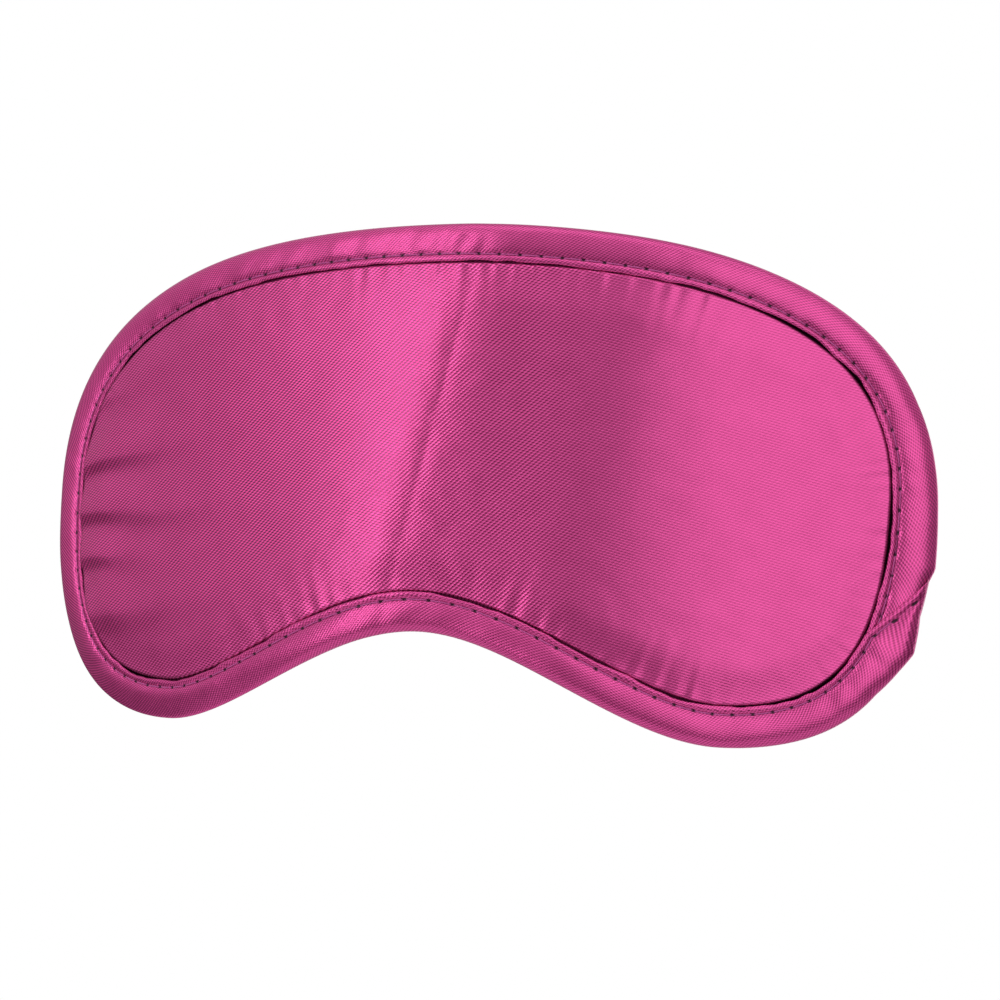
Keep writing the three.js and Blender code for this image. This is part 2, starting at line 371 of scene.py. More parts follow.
def sway_tables():
    """Places across the pattern and the sway's height there: its slope summed up from one end,
    less the line through the ends and the nose."""
    u = np.linspace(-HALF_WIDTH - SWAY_MARGIN, HALF_WIDTH + SWAY_MARGIN, SWAY_SAMPLES)
    slope = np.tan(np.radians(np.interp(u, SWAY_AT, SWAY_SLOPE)))
    kernel = np.hanning(SWAY_BLUR + 1)
    padded = np.pad(slope, SWAY_BLUR // 2, mode="edge")
    slope = np.convolve(padded, kernel / kernel.sum(), mode="valid")
    height = np.concatenate([[0], np.cumsum((slope[1:] + slope[:-1]) / 2 * np.diff(u))])
    trend = np.interp(u, [u[0], 0, u[-1]], [height[0], height[len(u) // 2], height[-1]])
    return u, height - trend


SWAY_U, SWAY = sway_tables()


def bend(u, v, height):
    """From the flat pattern to the curved mask, in metres."""
    u, v, height = np.broadcast_arrays(np.asarray(u, float), v, height)
    reach = np.abs(u)
    turn = np.clip((reach - CURVE_FROM) / (CURVE_TO - CURVE_FROM), 0, 1) * CURVE_ANGLE
    past = np.maximum(reach - CURVE_TO, 0)
    height = height - np.interp(u - SWAY_LEAN * v, SWAY_U, SWAY)
    across = (np.minimum(reach, CURVE_FROM) + CURVE_RADIUS * np.sin(turn)
              + past * np.cos(turn) + height * np.sin(turn))
    behind = (CURVE_RADIUS * (1 - np.cos(turn)) + past * np.sin(turn)
              - height * np.cos(turn) - BACK_FACE)
    return np.stack([np.sign(u) * across, behind, v], -1) * MM


# Half of the tape's outside, from its front inner edge to the middle of the folded rim, as
# distances in and heights; how far along it each point lies; and the stitch groove's place.
TAPE_OUTSIDE = np.array([
    (7.40, 0.98), (7.58, 1.12), (7.66, 1.34), (7.55, 1.58), (7.25, 1.72), (6.90, 1.71),
    (6.62, 1.60), (6.40, 1.47), (6.20, 1.42), (6.00, 1.45), (5.70, 1.55), (5.20, 1.66),
    (4.50, 1.75), (3.60, 1.79), (2.70, 1.76), (1.90, 1.66), (1.20, 1.46), (0.65, 1.16),
    (0.27, 0.78), (0.06, 0.38), (0.0, 0.0),
])
TAPE_RUN = run_of(TAPE_OUTSIDE).tolist()
GROOVE_RUN = TAPE_RUN[np.argmin(np.abs(TAPE_OUTSIDE[:, 0] - STITCH_IN))]


# ---- helpers ----

def smooth(x, low, high):
    t = np.clip((np.asarray(x, float) - low) / (high - low), 0, 1)
    return t * t * (3 - 2 * t)


def ripple(s, wavelength, seed):
    """Smooth noise from -1 to 1 along the rim."""
    count = round(RIM_LENGTH / wavelength)
    knots = np.random.default_rng(seed).uniform(-1, 1, count)
    x = np.mod(s, RIM_LENGTH) / RIM_LENGTH * count
    i = np.floor(x).astype(int) % count
    t = smooth(x - np.floor(x), 0, 1)
    return knots[i] * (1 - t) + knots[(i + 1) % count] * t


def ripples(s, depth, waves):
    """Several ripples in one, which slant as they run in from the rim."""
    return sum(height * ripple(s + slant * depth, wavelength, seed)
               for height, wavelength, slant, seed in waves)


def mesh_object(name, points, faces, uv=None, flat_from=None):
    """A mesh from points in metres; uv is a pair in millimetres for each point. Faces are shaded
    smooth, but for those from flat_from on."""
    mesh = bpy.data.meshes.new(name)
    mesh.from_pydata(np.asarray(points).reshape(-1, 3).tolist(), [], [list(f) for f in faces])
    mesh.validate()
    mesh.update()
    if uv is not None:
        corners = np.zeros(len(mesh.loops), int)
        mesh.loops.foreach_get("vertex_index", corners)
        layer = mesh.uv_layers.new(name="cloth")
        layer.data.foreach_set("uv", np.asarray(uv, np.float32).reshape(-1, 2)[corners].ravel())
    smooth_count = len(faces) if flat_from is None else flat_from
    mesh.polygons.foreach_set("use_smooth", np.arange(len(mesh.polygons)) < smooth_count)
    made = bpy.data.objects.new(name, mesh)
    bpy.context.scene.collection.objects.link(made)
    return made


def grid_faces(rows, columns, wrap_columns=False, first=0, flip=False):
    """Quads between neighbours in a grid of points, counted along its rows from first."""
    r = np.arange(rows - 1)[:, None]
    c = np.arange(columns if wrap_columns else columns - 1)[None, :]
    r2, c2 = r + 1, (c + 1) % columns
    quads = np.stack(np.broadcast_arrays(
        r * columns + c, r * columns + c2, r2 * columns + c2, r2 * columns + c), -1)
    quads = quads.reshape(-1, 4) + first
    return quads[:, ::-1] if flip else quads


# ---- materials ----

class Material:
    """A Principled material with short ways to add nodes."""

    def __init__(self, name, colour, roughness, **sockets):
        self.data = bpy.data.materials.new(name)
        self.data.use_nodes = True
        self.nodes = self.data.node_tree.nodes
        self.links = self.data.node_tree.links
        self.shader = self.nodes["Principled BSDF"]
        self.shader.inputs["Base Color"].default_value = (*colour, 1)
        self.shader.inputs["Roughness"].default_value = roughness
        for socket, value in sockets.items():
            self.shader.inputs[socket.replace("_", " ")].default_value = value
        uv = self.nodes.new("ShaderNodeUVMap")
        uv.uv_map = "cloth"
        self.uv = uv.outputs["UV"]

    def node(self, kind, values=None, **settings):
        made = self.nodes.new("ShaderNode" + kind)
        for key, value in settings.items():
            setattr(made, key, value)
        for socket, value in (values or {}).items():
            if isinstance(value, bpy.types.NodeSocket):
                self.links.new(value, made.inputs[socket])
            else:
                made.inputs[socket].default_value = value
        return made

    def bands(self, angle, period, distortion=0.0):
        """Parallel bands that run at an angle, in degrees, across the cloth, 0 to 1."""
        turned = self.node("Mapping", {
            "Vector": self.uv, "Rotation": (0, 0, math.radians(90 - angle))})
        wave = self.node("TexWave", {
            "Vector": turned.outputs["Vector"], "Scale": math.tau / 20 / period,
            "Distortion": distortion, "Detail": 1.0, "Detail Scale": 0.6},
            wave_type="BANDS", bands_direction="X", wave_profile="SIN")
        return wave.outputs["Fac"]

    def noise(self, size, detail):
        made = self.node("TexNoise", {"Vector": self.uv, "Scale": 1 / size, "Detail": detail})
        return made.outputs["Fac"]

    def math(self, operation, a, b):
        return self.node("Math", {0: a, 1: b}, operation=operation).outputs[0]

    def blend_of(self, *shares):
        """The sum of sockets, each times its share."""
        total = 0.0
        for share, socket in shares:
            added = self.node("Math", {0: socket, 1: share, 2: total}, operation="MULTIPLY_ADD")
            total = added.outputs[0]
        return total

    def about_half(self, value, strength):
        """A value from 0 to 1, spread further from 0.5 or drawn nearer to it."""
        off = self.math("SUBTRACT", value, 0.5)
        return self.math("ADD", self.math("MULTIPLY", off, strength), 0.5)

    def ramp(self, value, low, high, start=0.0, stop=1.0):
        """Runs from low to high as value runs from start to stop."""
        made = self.node("MapRange", {
            "Value": value, "From Min": start, "From Max": stop, "To Min": low, "To Max": high})
        return made.outputs["Result"]

    def tint(self, factor, first, second):
        """From the first colour, or socket, to the second as factor runs from 0 to 1."""
        ends = [c if isinstance(c, bpy.types.NodeSocket) else (*c, 1) for c in (first, second)]
        mix = self.node("Mix", {"Factor": factor, "A": ends[0], "B": ends[1]}, data_type="RGBA")
        return mix.outputs["Result"]

    def colour(self, socket):
        self.links.new(socket, self.shader.inputs["Base Color"])

    def rough(self, socket):
        self.links.new(socket, self.shader.inputs["Roughness"])

    def bump(self, height, distance):
        made = self.node("Bump", {"Height": height, "Distance": distance * MM, "Strength": 1.0})
        self.links.new(made.outputs["Normal"], self.shader.inputs["Normal"])


def painted_tape_shade(m):
    """Painted shade, 0 to 1: 1 in each needle hole and under the tape's inner edge, a little in the
    stitched groove.
    """
    place = m.node("SeparateXYZ", {"Vector": m.uv})
    along = m.math("PINGPONG", place.outputs["X"], STITCH_PITCH / 2)
    inwards = m.math("PINGPONG", place.outputs["Y"], TAPE_RUN[-1])
    across = m.math("ABSOLUTE", m.math("SUBTRACT", inwards, GROOVE_RUN), 0)
    oval = m.math("ADD", m.math("POWER", m.math("DIVIDE", along, HOLE_HALF_LENGTH), 2),
                  m.math("POWER", m.math("DIVIDE", across, HOLE_HALF_WIDTH), 2))
    holes = m.math("MAXIMUM", m.ramp(oval, 1.0, 0.0, 0.4, 1.4), m.ramp(across, 0.25, 0.0, 0.05, 0.35))
    return m.math("MAXIMUM", holes, m.ramp(inwards, 0.95, 0.0, 0.35, 0.60))


def satin_material(name, sewn=False):
    """Short floats in slanting rows: two sets of fine lines cross. Towards +X the steeper ones stand
    out less and the weave is painted with less contrast: painted sheen, where the highlight washes
    the weave out."""
    m = Material(name, SATIN_LIGHT, 0.30, Metallic=0.65, Specular_IOR_Level=0.55)
    steep_pitch, flat_pitch = TAPE_PITCHES if sewn else PANEL_PITCHES
    steep = m.bands(STEEP_ANGLE, steep_pitch, WEAVE_UNEVEN)
    flat = m.bands(FLAT_ANGLE, flat_pitch, WEAVE_UNEVEN)
    contrast = TAPE_CONTRAST
    # Painted sheen: towards +X the steeper lines fade and the weave's contrast falls, where the
    # highlight washes the weave out.
    if not sewn:
        across = m.node("SeparateXYZ", {"Vector": m.uv}).outputs["X"]
        steep = m.about_half(steep, m.ramp(across, 1.0, PAINTED_SHEEN_STEEP, PAINTED_SHEEN_FROM, PAINTED_SHEEN_TO))
        contrast = m.ramp(across, PANEL_CONTRAST, TAPE_CONTRAST, PAINTED_SHEEN_FROM, PAINTED_SHEEN_TO)
    yarn = m.noise(0.2, 2.0)
    patches = m.noise(7.0, 2.0)
    shade = m.blend_of((0.40, steep), (0.32, flat), (0.18, yarn), (0.10, patches))
    relief = m.blend_of((0.58, steep), (0.34, flat), (0.16, yarn))
    colour = m.tint(m.about_half(shade, contrast), SATIN_DARK, SATIN_LIGHT)
    # Painted shade: the tape's needle holes, groove and inner edge, or the panel's crease beside the
    # binding, from its "seam" attribute.
    painted_shade_mark = painted_tape_shade(m) if sewn else m.node("Attribute", attribute_name="seam").outputs["Fac"]
    m.colour(m.tint(painted_shade_mark, colour, PAINTED_SHADE))
    m.rough(m.ramp(relief, *SATIN_ROUGHNESS))
    m.bump(relief, TAPE_BUMP if sewn else PANEL_BUMP)
    return m.data


def thread_material(name, dark, light):
    m = Material(name, light, 0.6, Sheen_Weight=0.2)
    ply = m.bands(35, 0.3)
    m.colour(m.tint(ply, dark, light))
    m.bump(ply, 0.04)
    return m.data


def lining_material():
    m = Material("brushed_lining", (0.012, 0.012, 0.013), 0.85,
                 Sheen_Weight=0.35, Sheen_Roughness=0.5)
    wale = m.bands(90, 0.65, 0.5)
    course = m.bands(0, 0.5, 0.5)
    fuzz = m.noise(0.22, 4.0)
    knit = m.math("MULTIPLY", wale, course)
    height = m.blend_of((0.6, knit), (0.4, fuzz))
    m.colour(m.tint(height, BLACK, (0.028, 0.028, 0.030)))
    m.bump(height, 0.08)
    return m.data


def elastic_material():
    m = Material("black_elastic", (0.014, 0.014, 0.015), 0.7, Sheen_Weight=0.2)
    cross = m.bands(90, 0.42, 0.2)
    braid = m.bands(28, 0.9, 0.2)
    height = m.blend_of((0.65, cross), (0.35, braid))
    m.colour(m.tint(height, BLACK, (0.034, 0.034, 0.037)))
    m.rough(m.ramp(height, 0.85, 0.6))
    m.bump(height, 0.07)
    return m.data


def foam_material():
    m = Material("grey_foam", (0.45, 0.45, 0.46), 0.95)
    cells = m.noise(0.5, 4.0)
    m.colour(m.tint(cells, (0.30, 0.30, 0.31), (0.55, 0.55, 0.56)))
    m.bump(cells, 0.2)
    return m.data


def stage_material():
    made = bpy.data.materials.new("pale_floor")
    made.use_nodes = True
    shader = made.node_tree.nodes["Principled BSDF"]
    shader.inputs["Base Color"].default_value = (0.86, 0.86, 0.87, 1)
    shader.inputs["Roughness"].default_value = 0.8
    return made


# ---- panels ----

def panel_rings(outside, spread=1):
    """Pattern points of rings from near the rim to the middle, and each ring's distance in from
    the rim. They are closest together beside the seam; spread sets them further apart."""
    t = np.linspace(0, 1, round(FLANK_RINGS / spread))[1:]
    depths = np.concatenate([
        np.linspace(outside, SEAM_RISE[0] - SEAM_GAP, RIM_RINGS),
        np.linspace(*SEAM_RISE, round(SEAM_RINGS / spread)),
        SEAM_RISE[1] + (RING_REACH - SEAM_RISE[1]) * t ** RING_CROWDING])
    rings = [RIM + INWARD * d for d in depths]
    last = rings[-1] - PANEL_CENTRE
    scales = np.linspace(1, SMALLEST_RING, round(INNER_RINGS / spread) + 1)[1:]
    rings += [PANEL_CENTRE + last * k for k in scales]
    depths = np.concatenate([depths, RING_REACH + (1 - scales) * MIDDLE_DEPTH])
    return np.array(rings), np.broadcast_to(depths[:, None], (len(rings), RIM_STEPS))


def panel_solid(name, rings, front, back, seam=0):
    """A closed sheet between two heights over the rings; seam is how much painted shade the crease
    beside the binding gets at each point."""
    count, steps = rings.shape[:2]
    points = []
    for height in (front, back):
        points.append(bend(rings[..., 0], rings[..., 1], height).reshape(-1, 3))
        points.append(bend(*PANEL_CENTRE, height[-1].mean()).reshape(1, 3))
    uv = np.vstack([rings.reshape(-1, 2), PANEL_CENTRE])
    size = count * steps + 1
    step = np.arange(steps)
    after = (step + 1) % steps
    last = (count - 1) * steps
    middle = np.full(steps, size - 1)
    faces = grid_faces(count, steps, wrap_columns=True).tolist()
    faces += np.stack([last + step, last + after, middle], 1).tolist()
    faces += grid_faces(count, steps, wrap_columns=True, first=size, flip=True).tolist()
    faces += (np.stack([last + after, last + step, middle], 1) + size).tolist()
    faces += np.stack([after, step, size + step, size + after], 1).tolist()
    made = mesh_object(name, np.vstack(points), faces, np.vstack([uv, uv]))
    # Painted shade beside the binding, kept as a point attribute for the satin's colour.
    crease = np.append(np.broadcast_to(seam, (count, steps)).ravel(), 0)
    attribute = made.data.attributes.new("seam", "FLOAT", "POINT")
    attribute.data.foreach_set("value", np.tile(crease, 2))
    return made


def crown(depth):
    """How the layers swell from the binding to the middle."""
    return smooth(depth, *SEAM_RISE) * 0.6 + smooth(depth, SEAM_RISE[0], PUFF_TO) * 0.4


def seam_puckers(depth, seed):
    """Short gathers that run in from the stitched seam, stronger in some stretches than others."""
    s = np.broadcast_to(RIM_S, depth.shape)
    phase = math.tau * s / STITCH_PITCH + PUCKER_DRIFT * ripple(s, 16, seed)
    fine_phase = math.tau * s / FINE_PUCKER_PITCH + FINE_PUCKER_DRIFT * ripple(s, 11, seed + 1)
    strength = smooth(ripple(s, 26, seed + 2) + 0.6 * ripple(s, 9, seed + 4), -0.5, 1.1)
    near = smooth(depth, PUFF_FROM, PUFF_FROM + PUCKER_RISE)
    reach = PUCKER_REACH + PUCKER_REACH_RANGE * ripple(s, 9, seed + 3)
    fade = np.exp(-np.maximum(depth - PUFF_FROM - 1, 0) / reach)
    waves = np.cos(phase) + FINE_PUCKER_SHARE * np.cos(fine_phase)
    return PUCKER_HEIGHT * strength * near * fade * waves


def end_folds(rings, depth):
    """Soft ridges that run in from the seam, each steep below its crest and gentle above."""
    height = np.zeros(depth.shape)
    reach = rings[..., 0] + HALF_WIDTH - LIP_WIDTH
    for v, slope, length, width, size in END_FOLDS:
        crest = v + slope * reach + FOLD_WANDER * np.sin(reach / FOLD_WANDER_LENGTH)
        across = rings[..., 1] - crest
        widening = 1 + FOLD_WIDENING * np.clip(reach / length, 0, 2)
        spread = width * widening * np.where(across > 0, FOLD_ABOVE, FOLD_BELOW)
        fade = np.exp(-(np.maximum(reach, 0) / length) ** 2)
        fade = fade * smooth(depth, SEAM_RISE[0], SEAM_RISE[1] + FOLD_RISE)
        height += size * fade * np.exp(-(across / spread) ** 2)
    return height


def grid_axes():
    return (np.arange(-HALF_WIDTH, HALF_WIDTH + CLOTH_STEP, CLOTH_STEP),
            np.arange(LOBE_V - CLOTH_STEP, TOP_V + CLOTH_STEP, CLOTH_STEP))


def depth_of(points):
    """Distance in from the rim of points of the flat pattern, negative outside it."""
    nearest = np.array([np.argmin(((RIM - point) ** 2).sum(1)) for point in points])
    return ((points - RIM[nearest]) * INWARD[nearest]).sum(1)


def cloth_modifier(cloth, sewn):
    modifier = cloth.modifiers.new("cloth", "CLOTH")
    modifier.collision_settings.use_collision = False
    modifier.point_cache.frame_start = 1
    modifier.point_cache.frame_end = CLOTH_FRAMES
    for setting, value in CLOTH_SETTINGS.items():
        setattr(modifier.settings, setting, value)
    modifier.settings.vertex_group_mass = sewn.name
    modifier.settings.effector_weights.gravity = 0


def settled_satin():
    """Wrinkles over a grid of the flat pattern, by cloth simulation: the satin is sewn down round
    the binding, cut a little larger than the space inside it, and lifted by the foam."""
    columns, rows = grid_axes()
    flat = np.stack(np.meshgrid(columns, rows, indexing="ij"), -1).reshape(-1, 2)
    depth = depth_of(flat)
    inside = depth > PUFF_FROM - CLOTH_STEP / 2
    order = np.where(inside, np.cumsum(inside) - 1, -1)
    quads = order[grid_faces(len(columns), len(rows))]
    uneven = np.random.default_rng(CLOTH_SEED).uniform(-CLOTH_UNEVEN, CLOTH_UNEVEN, inside.sum())
    points = np.column_stack([flat[inside], uneven]) * MM
    cloth = mesh_object("cloth", points, quads[(quads >= 0).all(1)])
    sewn = cloth.vertex_groups.new(name="sewn")
    sewn.add(np.flatnonzero(depth[inside] < SEAM_RISE[0]).tolist(), 1.0, "REPLACE")
    cloth_modifier(cloth, sewn)
    for number in range(1, CLOTH_FRAMES + 1):
        bpy.context.scene.frame_set(number)
    bpy.context.scene.frame_set(1)
    shape = (len(columns), len(rows))
    return narrow(heights_after(cloth, inside).reshape(shape), inside.reshape(shape))


def heights_after(cloth, inside):
    """The cloth's heights in millimetres, 0 where there is none. The cloth is then deleted."""
    settled = cloth.evaluated_get(bpy.context.evaluated_depsgraph_get()).data
    places = np.zeros(3 * inside.sum())
    settled.vertices.foreach_get("co", places)
    heights = np.zeros(len(inside))
    heights[inside] = places[2::3] / MM
    bpy.data.objects.remove(cloth)
    return heights


def narrow(heights, inside):
    """What is left of the heights once their average over a wide neighbourhood is taken off."""
    average = blurred(heights) / np.maximum(blurred(inside * 1.0), 0.01)
    return (heights - average) * inside


def blurred(grid):
    """A grid blurred over the span of the widest wrinkles."""
    kernel = np.hanning(WRINKLE_SPAN / CLOTH_STEP)
    kernel /= kernel.sum()
    for axis in (0, 1):
        grid = np.apply_along_axis(np.convolve, axis, grid, kernel, mode="same")
    return grid


def finer(heights):
    """The same heights on a grid twice as fine, with its corners rounded off."""
    for axis in (0, 1):
        count = heights.shape[axis]
        middles = (heights.take(range(1, count), axis) + heights.take(range(count - 1), axis)) / 2
        wide = np.insert(heights, range(1, count), middles, axis)
        sides = np.pad(wide, [(1, 1) if k == axis else (0, 0) for k in (0, 1)], mode="edge")
        last = sides.shape[axis]
        beside = wide * 2 + sides.take(range(last - 2), axis) + sides.take(range(2, last), axis)
        heights = beside / 4
    return heights


def look_up(heights, rings):
    """Heights of a grid of the flat pattern at the rings' points."""
    columns, rows = grid_axes()
    fine = heights
    for _ in range(FINER_TIMES):
        fine = finer(fine)
    step = CLOTH_STEP * (len(columns) - 1) / (len(fine) - 1)
    x = np.clip((rings[..., 0] - columns[0]) / step, 0, fine.shape[0] - 1.001)
    y = np.clip((rings[..., 1] - rows[0]) / step, 0, fine.shape[1] - 1.001)
    i, j = x.astype(int), y.astype(int)
    x, y = x - i, y - j
    return ((fine[i, j] * (1 - x) + fine[i + 1, j] * x) * (1 - y)
            + (fine[i, j + 1] * (1 - x) + fine[i + 1, j + 1] * x) * y)


def broad_waves(rings):
    """Long low waves in three directions."""
    u, v = rings[..., 0], rings[..., 1]
    return (0.10 * np.sin(u / 9.5 + v / 17 + 0.6) + 0.07 * np.sin(u / 15 - v / 8 + 2.0)
            + 0.05 * np.sin(u / 6.1 + v / 23 + 4.1))


def satin_front():
    rings, depth = panel_rings(PANEL_RIM)
    front = PANEL_RIM_HEIGHT + (PANEL_HEIGHT - PANEL_RIM_HEIGHT) * crown(depth)
    front = front + seam_puckers(depth, FRONT_SEED) + end_folds(rings, depth)
    settled = look_up(settled_satin(), rings)
    front = front + WRINKLE_CAP * np.tanh(settled / WRINKLE_CAP) * smooth(depth, *SEAM_RISE)
    return panel_solid("satin_front", rings, front, front - CLOTH, painted_seam_shade(rings, depth))


def painted_seam_shade(rings, depth):
    """How much painted shade the satin gets beside the binding, 0 to 1."""
    u = rings[..., 0]
    strength = CREASE_SHADE_AT_NOSE + (1 - CREASE_SHADE_AT_NOSE) * smooth(np.abs(u), ENDS_FROM, ENDS_TO)
    wider = CREASE_SHADE_WIDER * smooth(-u, ENDS_FROM, ENDS_TO)
    clear = smooth(depth, SEAM_RISE[0] + CREASE_SHADE_FROM, SEAM_RISE[1] + CREASE_SHADE_TO + wider)
    return (1 - clear) * strength


def lining_back():
    rings, depth = panel_rings(PANEL_RIM, 1.5)
    inside = smooth(depth, PUFF_FROM, PUFF_TO)
    back = PANEL_RIM_HEIGHT + (PANEL_HEIGHT - LINING_SINK - PANEL_RIM_HEIGHT) * crown(depth)
    waves = LINING_WAVES * broad_waves(rings + LINING_WAVE_START) * inside
    back = -(back + LINING_PUCKERS * seam_puckers(depth, BACK_SEED) + waves)
    return panel_solid("lining_back", rings, back + CLOTH, back)


def foam_core():
    rings, depth = panel_rings(PANEL_RIM + FOAM_INSET, 3)
    swell = smooth(depth, PUFF_FROM + FOAM_INSET, PUFF_TO)
    half = FOAM_RIM_HALF + (FOAM_HALF - FOAM_RIM_HALF) * swell
    return panel_solid("foam_core", rings, half, -half)


# ---- binding ----

def s_at_v(v):
    """Distance along the rim where it passes height v on its way down to the lobe at +X."""
    lowest = np.argmin(RIM[:RIM_STEPS // 2, 1])
    return RIM_S[np.argmin(np.abs(RIM[:lowest, 1] - v))]


def s_near(place):
    """Distance along the rim to its point nearest a place of the flat pattern."""
    return RIM_S[np.argmin(((RIM - place) ** 2).sum(1))]


LAP_TOP = s_at_v(LAP_TOP_V)
LAP_SEAM = s_at_v(LAP_SEAM_V)


def inner_section(outside):
    """The outside offset inwards by the tape's thickness."""
    way = unit(np.gradient(outside, axis=0))
    normal = np.stack([-way[:, 1], way[:, 0]], 1)
    return outside + normal * TAPE


def lap_shift(s):
    """How far out from the seam the tape's inner edge lies: its folded start is cut diagonally."""
    return LIP_WIDTH * np.clip((LAP_SEAM - s) / (LAP_SEAM - LAP_TOP), 0, 1) ** LAP_CURVE


def lap_lift(s):
    """How far the start of the tape is raised by the end that lies under it."""
    end = LAP_SEAM + LAP_UNDER
    return LAP_RISE * (1 - smooth(s, end, end + LAP_SETTLES))


def shifted(depth, s):
    """Distance in, once the tape's inner edge has moved out near its folded start."""
    return np.maximum(depth - lap_shift(s), depth * LAP_PINCHED)


def roundness(depth):
    """Rises from nothing at the rim to one where the tape is flat."""
    return np.sqrt(1 - (1 - np.clip(depth / RIM_ROUND, 0.004, 1)) ** 2)


def bulge(s):
    """How far the tape stands out past the rim beside the lap: the layer on top near the tape's
    start, and the one underneath near its end."""
    rim = rim_at(s)[0]
    top, under = (np.interp(rim[..., 1], BULGE_V, b) for b in (BULGE_TOP, BULGE_UNDER))
    near_end = s > LAP_TOP + RIM_LENGTH / 2
    return np.where(rim[..., 0] > BULGE_BEYOND, np.where(near_end, under, top), 0)


def pressed(s, depth):
    """How much of its height the tape keeps where it is pressed thin."""
    start, end = s_near(PRESSED_FROM), s_near(PRESSED_TO)
    there = smooth(s, start - PRESSED_FADE, start + PRESSED_FADE)
    there = there * (1 - smooth(s, end - PRESSED_FADE, end + PRESSED_FADE))
    return 1 - PRESSED * there * (1 - smooth(depth, 0, RIM_ZONE))


def tape_section():
    """The whole tape in section, its outside and then its inside backwards: distances in,
    heights, how far across the tape each point lies, and how many points the outside has."""
    outer = np.vstack([TAPE_OUTSIDE, TAPE_OUTSIDE[-2::-1] * (1, -1)])
    section = np.vstack([outer, inner_section(outer)[::-1]])
    run = np.array(TAPE_RUN)
    run = np.concatenate([run, 2 * run[-1] - run[-2::-1]])
    return section[:, 0], section[:, 1], np.concatenate([run, run[::-1]]), len(outer)


def tape_relief(s, depth, height):
    """How far the tape's faces stand out from their section: it wavers, creases, and is drawn in
    by the stitches."""
    low, high, falls, ends = TAPE_BODY
    body = smooth(depth, low, high) * (1 - smooth(depth, falls, ends))
    creased = smooth(ripples(s, depth, [TAPE_CREASED]), 0, 0.8)
    waver = ripples(s, depth, TAPE_WAVES) + creased * ripples(s, depth, [TAPE_CREASES])
    groove = np.exp(-((np.abs(depth) - STITCH_IN) / GROOVE_WIDTH) ** 2)
    groove = groove * (np.abs(height) > GROOVE_FROM)
    hole = np.exp(-(hole_distance(s) / HOLE_WIDTH) ** 2)
    lip = ripples(s, depth, LIP_WAVES) * smooth(depth, *TAPE_LIP)
    return waver * body + lip - groove * (GROOVE_DEPTH + HOLE_DEPTH * hole)


def tape_points(s, depth, height):
    """Places in the flat pattern, and heights, of the tape's section at distances s."""
    end = LAP_TOP + RIM_LENGTH
    relief = tape_relief(s, depth, height) + lap_lift(s)
    relief = relief - LAP_SINK * smooth(s, end - LAP_SINK_HALF, end + LAP_SINK_HALF)
    outer_side = np.sign(height) * (np.abs(height) > FACE_FROM)
    moved = shifted(depth, s)
    height = (height + outer_side * relief) * roundness(moved) / roundness(depth)
    height = height * pressed(s, depth)
    edge = ripples(s, depth, EDGE_WAVES) * smooth(depth, *TAPE_LIP)
    moved = moved + edge * (1 - lap_shift(s) / LIP_WIDTH)
    moved = moved - (bulge(s) + LAP_SPREAD * lap_lift(s)) * (1 - smooth(moved, 0, RIM_ZONE))
    rim, inward = rim_at(s[:, 0])
    return rim[:, None] + inward[:, None] * moved[..., None], height


def binding():
    """One tape, folded over the rim, from its folded start on top of the lap, clockwise all the
    way round, to its end under the start."""
    depth, height, width_at, outer_count = tape_section()
    columns = len(depth)
    last = LAP_SEAM + LAP_UNDER + RIM_LENGTH
    rows = round((last - LAP_TOP) / RIM_LENGTH * RIM_STEPS)
    s = np.linspace(LAP_TOP, last, rows)[:, None]
    flat, height = tape_points(s, np.broadcast_to(depth, (rows, columns)), height[None, :])
    points = bend(flat[..., 0], flat[..., 1], height)
    uv = np.stack(np.broadcast_arrays(s, width_at[None, :]), -1)
    faces = grid_faces(rows, columns, wrap_columns=True, flip=True).tolist()
    faces += cap_faces(outer_count, 0, False)
    faces += cap_faces(outer_count, (rows - 1) * columns, True)
    return mesh_object("binding", points, faces, uv)


def cap_faces(count, first, flip):
    """Quads that close the end of a tape section: its outside and, backwards, its inside."""
    faces = [[first + i, first + i + 1, first + 2 * count - 2 - i, first + 2 * count - 1 - i]
             for i in range(count - 1)]
    return [f[::-1] for f in faces] if flip else faces


# ---- threads ----

def tube(points, radius):
    """Rings of a given radius in millimetres round a line of points in metres."""
    way = unit(np.gradient(points, axis=0))
    helper = np.where(np.abs(way[:, [1]]) > 0.9, [[1.0, 0, 0]], [[0, 1.0, 0]])
    side = unit(np.cross(way, helper))
    over = np.cross(way, side)
    angle = np.arange(THREAD_SIDES)[None, :, None] / THREAD_SIDES * math.tau
    ring = side[:, None] * np.cos(angle) + over[:, None] * np.sin(angle)
    return points[:, None] + ring * radius * MM


def threads(name, lines, radius):
    """Many short threads as one object, each a closed tube."""
    points, faces, uv = [], [], []
    for line in lines:
        rings = tube(line, radius)
        count, sides = rings.shape[:2]
        first = sum(len(p) for p in points)
        points.append(rings.reshape(-1, 3))
        faces += grid_faces(count, sides, wrap_columns=True, first=first).tolist()
        faces.append(list(range(first, first + sides))[::-1])
        faces.append(list(range(first + (count - 1) * sides, first + count * sides)))
        length = np.linalg.norm(np.diff(line, axis=0), axis=1).sum()
        run = np.linspace(0, 1, count)[:, None] * length / MM
        round_it = np.linspace(0, math.tau * radius, sides)[None, :]
        uv.append(np.stack(np.broadcast_arrays(run, round_it), -1).reshape(-1, 2))
    return mesh_object(name, np.vstack(points), faces, np.vstack(uv))


def hole_distance(s):
    """Distance along the rim to the nearest needle hole."""
    return np.abs(np.mod(s + STITCH_PITCH / 2, STITCH_PITCH) - STITCH_PITCH / 2)


